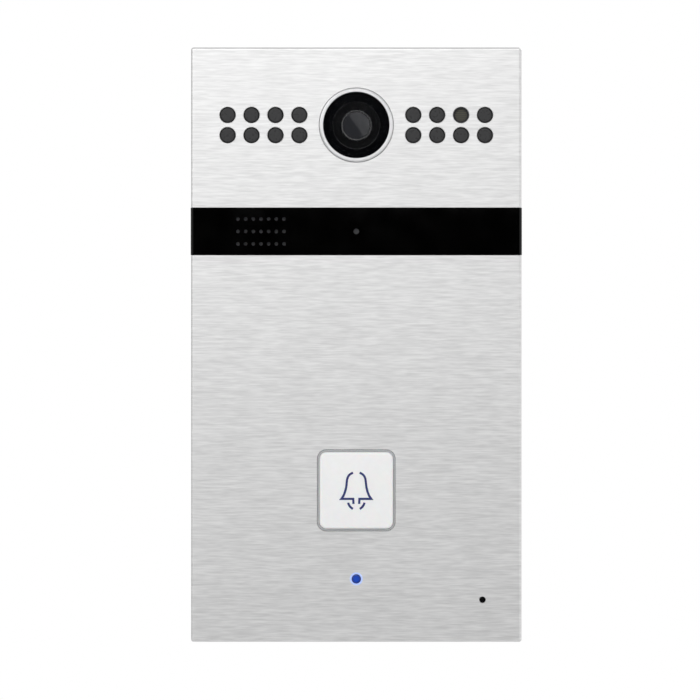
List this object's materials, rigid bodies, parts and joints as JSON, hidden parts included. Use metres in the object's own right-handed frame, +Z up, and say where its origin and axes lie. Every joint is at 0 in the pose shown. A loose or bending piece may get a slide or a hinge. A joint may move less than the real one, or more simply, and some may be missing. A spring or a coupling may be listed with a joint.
{
  "type": "door intercom panel",
  "caption": "Flat wall-mounted door station with two brushed metal faceplates, a gloss band, a camera with infrared windows beside it, a call button and a rear bracket.",
  "frame": {"origin": "centre of the wall bracket's back face, on the wall", "axes": "+Z up along the panel's height, +Y into the wall, -Y out towards the visitor, +X to the visitor's right"},
  "size_m": [0.1054, 0.035, 0.189],
  "materials": {
    "galvanised_steel": "zinc-plated pressed steel, dull",
    "stainless_steel": "stainless steel, satin",
    "spring_steel": "drawn spring wire",
    "black_foam": "closed-cell foam",
    "black_rubber": "moulded rubber, matt",
    "grey_cloth": "fine woven mesh",
    "black_abs": "moulded plastic, fine spark texture",
    "brushed_aluminium": "brushed along its width and clear anodised",
    "gloss_black": "high-gloss moulded acrylic",
    "adhesive_tape": "double-sided foam tape",
    "polished_metal": "polished",
    "cover_glass": "clear, anti-reflection coated",
    "coated_glass": "lens glass with a faint coating",
    "filter_glass": "filter glass",
    "anodised_black": "black anodised, matt",
    "anodised_metal_can": "plain metal can",
    "sensor_silicon": "sensor under glass",
    "green_board": "solder-masked laminate",
    "ribbon_film": "polyimide film",
    "smoked_plastic": "smoked infrared-passing plastic",
    "lamp_epoxy": "clear epoxy lamp body",
    "photocell_ceramic": "photoresistor face",
    "speaker_film": "polyester film",
    "chip_plastic": "chip moulding compound",
    "blue_lens": "clear plastic lit blue",
    "white_plastic": "satin translucent white plastic",
    "white_diffuser": "translucent diffuser",
    "grey_plastic": "moulded grey plastic",
    "blue_ink": "printed dark blue ink",
    "grey_silicone": "silicone rubber",
    "carbon_rubber": "conductive rubber",
    "green_terminal": "moulded green polyamide",
    "relay_case": "moulded relay case",
    "capacitor_sleeve": "shrunk sleeve",
    "white_nylon": "moulded nylon",
    "lead_insulation": "wire insulation",
    "grey_nylon": "moulded nylon"
  },
  "bodies": {
    "root": {"wall_bracket": "galvanised_steel", "wall_gasket": "black_foam", "lock_screw": "stainless_steel", "rear_housing": "black_abs", "housing_gasket": "black_rubber", "housing_screws": "stainless_steel", "bay_gasket": "black_foam", "front_casing": "black_abs", "upper_faceplate": "brushed_aluminium", "lower_faceplate": "brushed_aluminium", "front_band": "gloss_black", "adhesive_strips": "adhesive_tape", "camera_trim_ring": "polished_metal", "camera_cover_glass": "cover_glass", "camera_gasket": "black_rubber", "lens_barrel": "anodised_black", "lens_elements": "coated_glass", "lens_holder": "black_abs", "image_sensor": "sensor_silicon", "camera_board": "green_board", "camera_screws": "stainless_steel", "camera_ribbon": "ribbon_film", "infrared_windows": "smoked_plastic", "infrared_leds": "lamp_epoxy", "light_sensor": "photocell_ceramic", "led_board": "green_board", "speaker_mesh": "grey_cloth", "speaker_gasket": "black_foam", "speaker_basket": "galvanised_steel", "speaker_cone": "speaker_film", "speaker_magnet": "galvanised_steel", "sensor_lens": "smoked_plastic", "proximity_sensor": "chip_plastic", "status_light_pipe": "blue_lens", "microphone_boot": "black_rubber", "microphone": "anodised_metal_can", "button_surround": "grey_plastic", "button_seal": "grey_silicone", "button_board": "green_board", "button_lamps": "white_diffuser", "main_board": "green_board", "network_jack": "anodised_metal_can", "terminal_headers": "green_terminal", "terminal_plugs": "green_terminal", "board_chips": "chip_plastic", "heatsink": "anodised_black", "network_transformer": "chip_plastic", "door_relays": "relay_case", "capacitors": "capacitor_sleeve", "board_plugs": "white_nylon", "board_screws": "stainless_steel", "internal_leads": "lead_insulation", "tamper_spring": "spring_steel"},
    "call_button": {"call_button": "white_plastic", "bell_icon": "blue_ink", "button_diffuser": "white_diffuser", "contact_pill": "carbon_rubber"},
    "filter_shuttle": {"filter_shuttle": "anodised_black", "shuttle_filters": "filter_glass"},
    "tamper_plunger": {"tamper_plunger": "grey_nylon"}
  },
  "joints": [
    {"name": "call_button_press", "type": "slide", "parent": "root", "child": "call_button", "axis": [0, 1, 0], "range_m": [0, 0.0008], "stiffness_N_per_m": 3000, "deforming": ["button_seal"]},
    {"name": "filter_shuttle_slide", "type": "slide", "parent": "root", "child": "filter_shuttle", "axis": [-1, 0, 0], "range_m": [0, 0.0065]},
    {"name": "tamper_plunger_release", "type": "slide", "parent": "root", "child": "tamper_plunger", "axis": [0, 1, 0], "range_m": [0, 0.0025], "stiffness_N_per_m": 200, "springref_m": 0.006, "deforming": ["tamper_spring"]}
  ]
}
